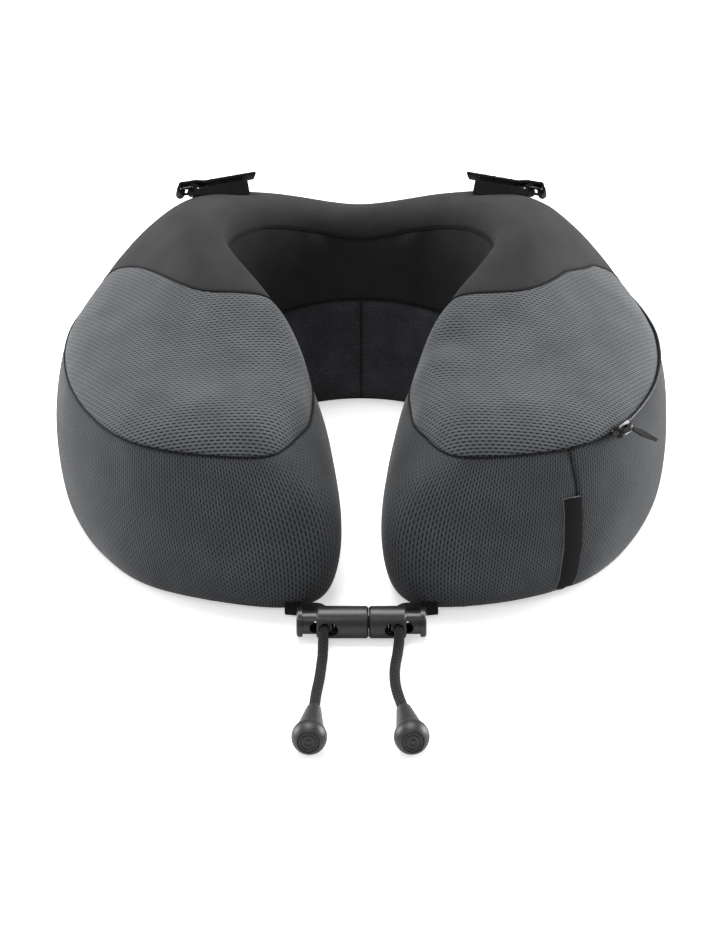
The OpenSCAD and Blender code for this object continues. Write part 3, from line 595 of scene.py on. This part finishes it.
for number, name in enumerate(panels):
    panel_piece(number, name)


# Foam. One moulded block of slow foam fills the cover; it is never seen, and its skin follows
# the cloth from just inside.
foam_finish, tree, shader = finish_of("cream_foam", 0.9)
pores = place_in(tree, mottle_group, Place=object_place(tree), Scale=160.0)
tree.links.new(shaded(tree, (0.80, 0.74, 0.58), pores.outputs["Shade"]),
               shader.inputs["Base Color"])
raise_surface(tree, shader, pores.outputs["Grain"], 0.3 * MM)
foam_in = 2.6 * MM
foam_low = 1.4 * MM
bm = bmesh.new()
bm.from_mesh(foam_mesh)
bm.normal_update()
for v, away in [(v, v.normal.copy()) for v in bm.verts]:
    v.co -= away * foam_in
    v.co.z = max(v.co.z, foam_low)
for face in bm.faces:
    face.material_index = 0
foam = new_piece("foam_block", bm, foam_finish)
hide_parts("foam_core")


# Seams. A thin near-black thread line lies in each groove where two panels are sewn together
# and closes the gap; its dark colour is painted shade of the groove.
thread_r = 0.32 * MM
thread_in = 0.32 * MM
thread_sides = 6


def chains(edges):
    """Edges as lines of points, each line in order."""

    def key(p):
        """A point in whole micrometres, the same for edges that meet."""
        return tuple(round(c * 1e6) for c in p)

    near = {}
    for a, b in edges:
        near.setdefault(key(a[0]), []).append((a, b))
        near.setdefault(key(b[0]), []).append((b, a))
    used, lines = set(), []
    starts = [k for k, v in near.items() if len(v) == 1] + list(near)
    for start in starts:
        if start in used:
            continue
        line, here = [near[start][0][0]], start
        used.add(start)
        while True:
            ahead = [b for a, b in near[here] if key(b[0]) not in used]
            if not ahead:
                break
            line.append(ahead[0])
            here = key(ahead[0][0])
            used.add(here)
        closed = len(line) > 3 and any(key(b[0]) == start for a, b in near[here])
        lines.append((line, closed))
    return lines


# Near-black: on the seam lines this is painted groove shade; the strap stitches use the same dark
# thread.
dark_thread_and_groove_shade = knit_cloth("thread_and_groove_shade", (0.012, 0.012, 0.013), 0.5, 0.05)
bm = bmesh.new()
for kinds, edges in seam_lines.items():
    for line, closed in chains(edges):
        if len(line) > 2:
            way = [p - away * thread_in for p, away in line]
            sweep(bm, [Vector((p.x, p.y, max(p.z, thread_r))) for p in way], thread_r,
                  thread_sides, closed)
new_piece("seam_welts_groove_shade", bm, dark_thread_and_groove_shade)


# Zip. A spiral coil runs in the seam of the right side, with a stop at each end; the slider is
# cast and carries a leaf shaped pull on its cross pin.
coil_pitch = 1.25 * MM
coil_r = (0.45 * MM, 0.75 * MM)
coil_out = 0.45 * MM
coil_wire_r, coil_core_r = 0.27 * MM, 0.55 * MM
stop_r, stop_l, stop_room = 1.02 * MM, 1.6 * MM, 1.5 * MM
zip_lean = math.radians(31)


def evenly(points, step):
    """The same line with its points a step apart."""
    line, run = [points[0]], 0.0
    for a, b in zip(points, points[1:]):
        length = (b - a).length
        while length and run + length >= step * len(line):
            line.append(a.lerp(b, (step * len(line) - run) / length))
        run += length
    return line


coil_finish = moulded("coil_nylon", (0.02, 0.02, 0.022), 0.4)
rear_band = panel_names.index("side_band_right_rear")
zip_points = []
for kinds, edges in seam_lines.items():
    if rear_band in kinds and kinds[0] in (0, 1):
        for line, _ in chains(edges):
            zip_points += [p for p, away in line]
side_c = Vector((-20, 5, 0)) * MM
zip_points = sorted({tuple(p) for p in zip_points},
                    key=lambda p: math.atan2(p[1] - side_c.y, p[0] - side_c.x))
zip_line = []
for p in map(Vector, zip_points):
    away = (p - side_c)
    away.z = 0
    away.normalize()
    zip_line.append(p + coil_out * (away * math.cos(zip_lean) + Vector((0, 0, math.sin(zip_lean)))))
low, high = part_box("zip_chain")
zip_line = [p for p in zip_line if p.x > low.x + stop_room and p.y > low.y + stop_room]
zip_line = smooth_way(evenly(zip_line, 3 * MM), 0.35 * MM)
coil = []
run = 0.0
for k in range(1, len(zip_line) - 1):
    run += (zip_line[k] - zip_line[k - 1]).length
    ahead = (zip_line[k + 1] - zip_line[k - 1]).normalized()
    lift = Vector((0, 0, 1))
    away = ahead.cross(lift).normalized()
    spin = 2 * math.pi * run / coil_pitch
    coil.append(zip_line[k] + away * math.cos(spin) * coil_r[0]
                + lift * math.sin(spin) * coil_r[1])
bm = bmesh.new()
sweep(bm, coil, coil_wire_r, 5)
sweep(bm, zip_line[1:-1:4], coil_core_r, 8)
for end, ahead in ((zip_line[1], zip_line[4]), (zip_line[-2], zip_line[-5])):
    sweep(bm, [end, end + (ahead - end).normalized() * stop_l], stop_r, 10)
chain = new_piece("zip_coil", bm, coil_finish)
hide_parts("zip_chain")


def finished(node, material, body, edge=0.2, angle=32):
    """A copy of a rigid node with its points merged, its edges rounded and its faces smooth."""
    bm = bmesh.new()
    bm.from_mesh(cad[node].data)
    bmesh.ops.remove_doubles(bm, verts=bm.verts, dist=1e-5)
    bmesh.ops.dissolve_limit(bm, angle_limit=math.radians(0.6), verts=bm.verts[:],
                             edges=bm.edges[:])
    piece = new_piece(node + "_finished", bm, material, body)
    soft = piece.modifiers.new("edges", "BEVEL")
    soft.width = edge * MM
    soft.segments = 2
    soft.limit_method = "ANGLE"
    soft.angle_limit = math.radians(angle)
    soft.use_clamp_overlap = True
    soft.harden_normals = False
    tidy = piece.modifiers.new("shade", "WEIGHTED_NORMAL")
    tidy.keep_sharp = False
    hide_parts(node)
    return piece


cast_metal = moulded("cast_metal", (0.022, 0.022, 0.024), 0.36, metallic=0.5, coat=0.1)
finished("zip_slider", cast_metal, "zip_slider", 0.25)
finished("zip_pull", cast_metal, "zip_pull", 0.28)


# Label. A folded black satin tape, plain on both faces, is sewn into the upright seam of the
# right lobe; its fold's edge faces are light grey, a painted highlight where the fold catches
# light.
satin, tree, shader = finish_of("label_satin", 0.55, specular=0.12)
weave = place_in(tree, mottle_group, Place=object_place(tree), Scale=220.0)
tree.links.new(shaded(tree, (0.005, 0.005, 0.006), weave.outputs["Shade"]),
               shader.inputs["Base Color"])
raise_surface(tree, shader, weave.outputs["Grain"], 0.08 * MM)
# Light grey for the fold's edge faces: a painted highlight, not a lighter tape.
edge_highlight_grey = knit_cloth("label_edge_painted_highlight", (0.16, 0.165, 0.17), 0.5)
bm = bmesh.new()
bm.from_mesh(cad["side_label"].data)
bmesh.ops.remove_doubles(bm, verts=bm.verts, dist=1e-5)
bmesh.ops.recalc_face_normals(bm, faces=bm.faces)
# Every face starts with the painted highlight grey; only the front is then given black satin.
for face in bm.faces:
    face.material_index = 1
facing = sum((f.normal * f.calc_area() for f in bm.faces
              if f.normal.dot((f.calc_center_median() - neck * MM).normalized()) > 0.55),
             Vector()).normalized()
front = [f for f in bm.faces if f.normal.dot(facing) > 0.8]
for face in front:
    face.material_index = 0
label = new_piece("side_label_tape", bm, [satin, edge_highlight_grey])
turn_in = label.modifiers.new("edges", "BEVEL")
turn_in.width = 0.3 * MM
turn_in.segments = 3
turn_in.limit_method = "ANGLE"
turn_in.angle_limit = math.radians(50)
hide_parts("side_label")


# Seat straps. On each shoulder a webbing base is sewn to the cover and holds one bar of a wire
# ring; the flap hangs on the ring's other bar and closes over it with hook and loop patches.
strap_at = Vector((86.0622, 82.8954, 109.297)) * MM
strap_turn = Euler([math.radians(a) for a in (29.5, -6.5, 170)]).to_matrix().to_4x4()
strap_l, strap_w, web_t, ring_r, lip_l = 36, 20, 1.3, 0.7, 4.5
ring_side_gap, ring_corner = 0.4, 1.3
web_step, web_parts, web_edge = 0.8, 16, 0.25
patch_cuts, patch_pile, patch_flat_edge = 18, 0.09, 8.3
stitch_x, stitch_in = 14, 2
eye_r = ring_r + 0.08 + web_t / 2
bar_z = ring_r + 0.08 + web_t
flap_bar, base_bar = 1.0, 6.5
flap_low, flap_over = 3.3, 4.26
webbing_black = knit_cloth("strap_webbing", (0.014, 0.014, 0.016), 0.9, 0.05, depth=0.25)
hook_and_loop = knit_cloth("hook_and_loop", (0.012, 0.012, 0.014), 1.1, 0.15, 0.6, 1.4, 0.6)
ring_metal = moulded("ring_metal", (0.03, 0.03, 0.032), 0.22, metallic=0.9, coat=0.2)
folded_webbing, tree, shader = finish_of("folded_webbing", 0.9, sheen=0.05, specular=0.12)
rib = place_in(tree, mottle_group, Place=object_place(tree), Scale=90.0, Low=0.7, High=1.3)
tree.links.new(shaded(tree, (0.014, 0.014, 0.016), rib.outputs["Shade"]),
               shader.inputs["Base Color"])
raise_surface(tree, shader, rib.outputs["Grain"], 0.35 * MM)


def strap_place(hand):
    """From the strap's own millimetres to its place on the right or left shoulder."""
    return Matrix.Diagonal((hand, 1, 1, 1)) @ Matrix.Translation(strap_at) @ strap_turn \
        @ Matrix.Diagonal((MM, MM, MM, 1))


def eye(centre, start, end, steps=14):
    """The webbing's turn round a bar, seen from the side."""
    return [(centre + eye_r * math.cos(math.radians(start + (end - start) * k / steps)),
             bar_z + eye_r * math.sin(math.radians(start + (end - start) * k / steps)))
            for k in range(steps + 1)]


def webbing(line, hand):
    """The middle sheet of a strip of webbing along a side view line, with its map."""
    bm = bmesh.new()
    uv = bm.loops.layers.uv.verify()
    way = smooth_way([Vector((x, 0, z)) for x, z in line], web_step)
    verts = [bm.verts.new(p + Vector((0, -strap_w / 2, 0))) for p in way]
    run = [0.0]
    for a, b in zip(way, way[1:]):
        run.append(run[-1] + (b - a).length)
    edges = [bm.edges.new(pair) for pair in zip(verts, verts[1:])]
    for _ in range(web_parts):
        grown = bmesh.ops.extrude_edge_only(bm, edges=edges)["geom"]
        bmesh.ops.translate(bm, verts=[g for g in grown if isinstance(g, bmesh.types.BMVert)],
                            vec=(0, strap_w / web_parts, 0))
        edges = [g for g in grown if isinstance(g, bmesh.types.BMEdge) and
                 abs(g.verts[0].co.y - g.verts[1].co.y) < 1e-6 and
                 all(len(v.link_faces) <= 2 for v in g.verts) and g.is_boundary]
    near = {(round(p.x, 3), round(p.z, 3)): d for p, d in zip(way, run)}
    for face in bm.faces:
        for loop in face.loops:
            co = loop.vert.co
            loop[uv].uv = (near[(round(co.x, 3), round(co.z, 3))] * MM, co.y * MM)
    bmesh.ops.transform(bm, matrix=strap_place(hand), verts=bm.verts)
    bmesh.ops.recalc_face_normals(bm, faces=bm.faces)
    return bm


def thicken(piece):
    """The webbing's thickness on both sides of its middle sheet, with soft edges."""
    wall = piece.modifiers.new("wall", "SOLIDIFY")
    wall.thickness = web_t * MM
    wall.offset = 0
    edges = piece.modifiers.new("edges", "BEVEL")
    edges.width = web_edge * MM
    edges.segments = 2
    edges.limit_method = "ANGLE"
    edges.angle_limit = math.radians(45)


def stitch_row(bm, start, end, length=2.2, gap=1.1, r=0.32):
    """A row of sewn stitches between two points of the strap's own frame."""
    start, end = Vector(start), Vector(end)
    way = (end - start).normalized()
    count = int((end - start).length // (length + gap))
    for k in range(count):
        spot = start + way * (k + 0.5) * (end - start).length / count
        turn = Vector((1, 0, 0)).rotation_difference(way).to_matrix().to_4x4()
        bmesh.ops.create_icosphere(bm, subdivisions=1, radius=1, matrix=Matrix.Translation(spot)
                                   @ turn @ Matrix.Diagonal((length / 2, r, r, 1)))


for hand, side_name in sides.items():
    place = strap_place(hand)
    half_t = web_t / 2
    body_ring, body_flap = "strap_ring_" + side_name, "strap_flap_" + side_name

    end = strap_l + flap_bar - lip_l
    finished("strap_base_" + side_name, folded_webbing, "pillow", 0.3, 35)

    flap_line = eye(flap_bar, -10, -270)[:-1] \
        + [(flap_bar, flap_over + half_t), (3.9, flap_over + half_t),
           (6, flap_over + half_t), (8.3, flap_over + half_t - 0.05),
           (12.4, flap_low + half_t + 0.04)] \
        + [(14 + k * (strap_l + flap_bar - 14) / 16, flap_low + half_t) for k in range(17)]
    flap = new_piece("strap_flap_web_" + side_name, webbing(flap_line, hand), webbing_black,
                     body_flap)
    thicken(flap)
    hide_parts("strap_flap_" + side_name)

    bm = bmesh.new()
    top = flap_low + web_t + 0.05
    edge_y = strap_w / 2 - stitch_in
    for y in (-edge_y, edge_y):
        stitch_row(bm, (stitch_x, y, top), (end - 2.5, y, top))
    for x in (stitch_x, end - 2.5):
        stitch_row(bm, (x, -edge_y, top), (x, edge_y, top))
    bmesh.ops.transform(bm, matrix=place, verts=bm.verts)
    bmesh.ops.recalc_face_normals(bm, faces=bm.faces)
    new_piece("strap_stitches_" + side_name, bm, dark_thread_and_groove_shade, body_flap)

    for patch, body in (("loop_patch_", "pillow"), ("hook_patch_", body_flap)):
        bm = bmesh.new()
        bm.from_mesh(cad[patch + side_name].data)
        bmesh.ops.remove_doubles(bm, verts=bm.verts, dist=1e-5)
        bmesh.ops.dissolve_limit(bm, angle_limit=0.01, verts=bm.verts[:], edges=bm.edges[:])
        bmesh.ops.subdivide_edges(bm, edges=bm.edges[:], cuts=patch_cuts, use_grid_fill=True)
        inverse = place.inverted()
        for v in bm.verts:
            local = inverse @ v.co
            if abs(local.y) < patch_flat_edge:
                local.z += patch_pile * noise.noise(local * 2.5)
            v.co = place @ local
        piece = new_piece(patch + "pad_" + side_name, bm, hook_and_loop, body)
        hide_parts(patch + side_name)

    half = strap_w / 2 + ring_side_gap + ring_r
    loop = []
    for x, y, start in ((flap_bar, -half, 180), (base_bar, -half, 270), (base_bar, half, 0),
                        (flap_bar, half, 90)):
        cx = x + ring_corner * (1 if x == flap_bar else -1)
        cy = y - ring_corner * math.copysign(1, y)
        loop += [Vector((cx + ring_corner * math.cos(math.radians(start + a)),
                         cy + ring_corner * math.sin(math.radians(start + a)), bar_z))
                 for a in range(0, 91, 15)]
    bm = bmesh.new()
    sweep(bm, loop, ring_r, 16, closed=True)
    bmesh.ops.transform(bm, matrix=place, verts=bm.verts)
    bmesh.ops.recalc_face_normals(bm, faces=bm.faces)
    ring = new_piece("strap_ring_wire_" + side_name, bm, ring_metal, body_ring)
    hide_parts("strap_ring_" + side_name)


# Cords in place: a braided sleeve round a soft core, from the sewn tab to the bell, with painted
# shade in the dips between the strands.
braid, tree, shader = finish_of("braided_cord", 0.85, sheen=0.06, specular=0.15)
place = uv_place(tree)
split = tree.nodes.new("ShaderNodeSeparateXYZ")
tree.links.new(place, split.inputs[0])
strands, lay = 8, 2.6
strand = 2 * strands * MM / cord_d
lay_a = maths(tree, "ADD", maths(tree, "MULTIPLY", split.outputs[0], lay),
              maths(tree, "MULTIPLY", split.outputs[1], strand))
lay_b = maths(tree, "SUBTRACT", maths(tree, "MULTIPLY", split.outputs[0], lay),
              maths(tree, "MULTIPLY", split.outputs[1], strand))
plait = maths(tree, "MAXIMUM", maths(tree, "SINE", lay_a), maths(tree, "SINE", lay_b))
# Painted shade: the colour is darker where the plait height is low, in the dips between strands.
tone = maths(tree, "MULTIPLY_ADD", plait, 0.35, 0.75)
tree.links.new(shaded(tree, (0.018, 0.018, 0.020), tone), shader.inputs["Base Color"])
raise_surface(tree, shader, plait, 0.25 * MM)

for hand, side_name in sides.items():
    line = cord_lines[hand]
    bm = bmesh.new()
    sweep(bm, line, cord_d / 2, cord_sides)
    cord = new_piece("cord_" + side_name, bm, braid, None)
    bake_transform(cord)
    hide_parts("cord_lead_" + side_name, "cord_tail_" + side_name)

    finished("cord_tab_" + side_name, webbing_black, "pillow", 0.4, 40)


# Clasp. Two moulded barrels meet at a snap pin; in each a spring pushes a plunger out, and the
# plunger's offset hole grips the cord until it is pressed in.
spring_steel = moulded("spring_steel", (0.62, 0.63, 0.65), 0.22, metallic=1.0)
barrel_black = moulded("barrel_plastic", (0.019, 0.019, 0.020), 0.36, coat=0.1, grain=0.03)
for hand, side_name in sides.items():
    half = "clasp_" + side_name
    finished("clasp_barrel_" + side_name, barrel_black, half, 0.3)
    finished("clasp_plunger_" + side_name, plastic, "plunger_" + side_name, 0.3)
    coiled = finished("clasp_spring_" + side_name, spring_steel, half, 0.05, 60)
    low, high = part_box("clasp_spring_" + side_name)
    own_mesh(coiled)
finished("clasp_snap_pin", plastic, "clasp_right", 0.15)


# Bells. Each cord ends in a moulded bell that hides its knot, closed by a ringed end plug.
bell_neck = {1: Vector((16.9, -193, 3.2)), -1: Vector((-19, -193, 3.2))}
bell_grey = moulded("bell_plastic", (0.026, 0.026, 0.028), 0.42, grain=0.04)
plug_rings = [(0, 29.45), (0.9, 29.5), (1.1, 29.2), (1.5, 29.2), (1.7, 29.55), (2.6, 29.6),
              (2.8, 29.25), (3.15, 29.25), (3.35, 29.8), (3.9, 29.85), (4.15, 29.6), (4.15, 26.1),
              (0, 26.1)]
for hand, side_name in sides.items():
    half = "clasp_" + side_name
    bell = finished("cord_bell_" + side_name, bell_grey, half, 0.3, 40)
    bm = bmesh.new()
    verts = [bm.verts.new((r, 0, z)) for r, z in plug_rings]
    edges = [bm.edges.new(pair) for pair in zip(verts, verts[1:])]
    bmesh.ops.spin(bm, geom=verts + edges, cent=(0, 0, 0), axis=(0, 0, 1), angle=2 * math.pi,
                   steps=48, use_merge=True)
    bmesh.ops.remove_doubles(bm, verts=bm.verts, dist=1e-4)
    bmesh.ops.recalc_face_normals(bm, faces=bm.faces)
    stand = Matrix.Translation(bell_neck[hand] * MM) @ Matrix.Rotation(bell_way[hand], 4, "Z") \
        @ Matrix.Rotation(math.pi / 2 - bell_rise, 4, "Y") @ Matrix.Diagonal((MM, MM, MM, 1))
    bmesh.ops.transform(bm, matrix=stand, verts=bm.verts)
    plug = new_piece("bell_plug_rings_" + side_name, bm, bell_grey, half)
    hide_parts("bell_plug_" + side_name)
    line = cord_lines[hand]


# Floor and light. A pale seamless floor, one large soft lamp above, one on each side a little
# behind, and a weak one in front, as in a plain studio.
floor_size, floor_drop, floor_glow, world_light = 6, 0.2 * MM, 0.55, 0.36
floor_white, tree, shader = finish_of("studio_floor", 0.9, specular=0.1)
shader.inputs["Base Color"].default_value = (0.92, 0.92, 0.92, 1)
shader.inputs["Emission Color"].default_value = (1, 1, 1, 1)
seen = tree.nodes.new("ShaderNodeLightPath").outputs["Is Camera Ray"]
tree.links.new(maths(tree, "MULTIPLY", seen, floor_glow), shader.inputs["Emission Strength"])
bm = bmesh.new()
bmesh.ops.create_grid(bm, x_segments=2, y_segments=2, size=floor_size)
mesh = bpy.data.meshes.new("studio_floor")
bm.to_mesh(mesh)
bm.free()
mesh.materials.append(floor_white)
floor = bpy.data.objects.new("studio_floor", mesh)
floor.location.z = -floor_drop
bpy.context.scene.collection.objects.link(floor)

world = bpy.data.worlds.new("studio")
bpy.context.scene.world = world
world.use_nodes = True
world.node_tree.nodes["Background"].inputs[0].default_value = (1, 1, 1, 1)
world.node_tree.nodes["Background"].inputs[1].default_value = world_light


def lamp(name, place, size, power):
    """A round soft lamp that looks at the pillow."""
    aim = Vector((0, 0, 0.05))
    data = bpy.data.lights.new(name, "AREA")
    data.shape = "DISK"
    data.size = size
    data.energy = power
    made = bpy.data.objects.new(name, data)
    made.location = place
    made.rotation_euler = (aim - Vector(place)).to_track_quat("-Z", "Y").to_euler()
    bpy.context.scene.collection.objects.link(made)


lamp("top_lamp", (-0.15, 0.35, 1.5), 1.0, 20)
lamp("left_lamp", (-1.2, 0.45, 0.35), 0.7, 14)
lamp("right_lamp", (1.2, 0.45, 0.35), 0.7, 20)
lamp("front_lamp", (-0.3, -1.0, 1.3), 0.6, 3)
bpy.context.scene.view_settings.view_transform = "Standard"

skin.free()
control.free()
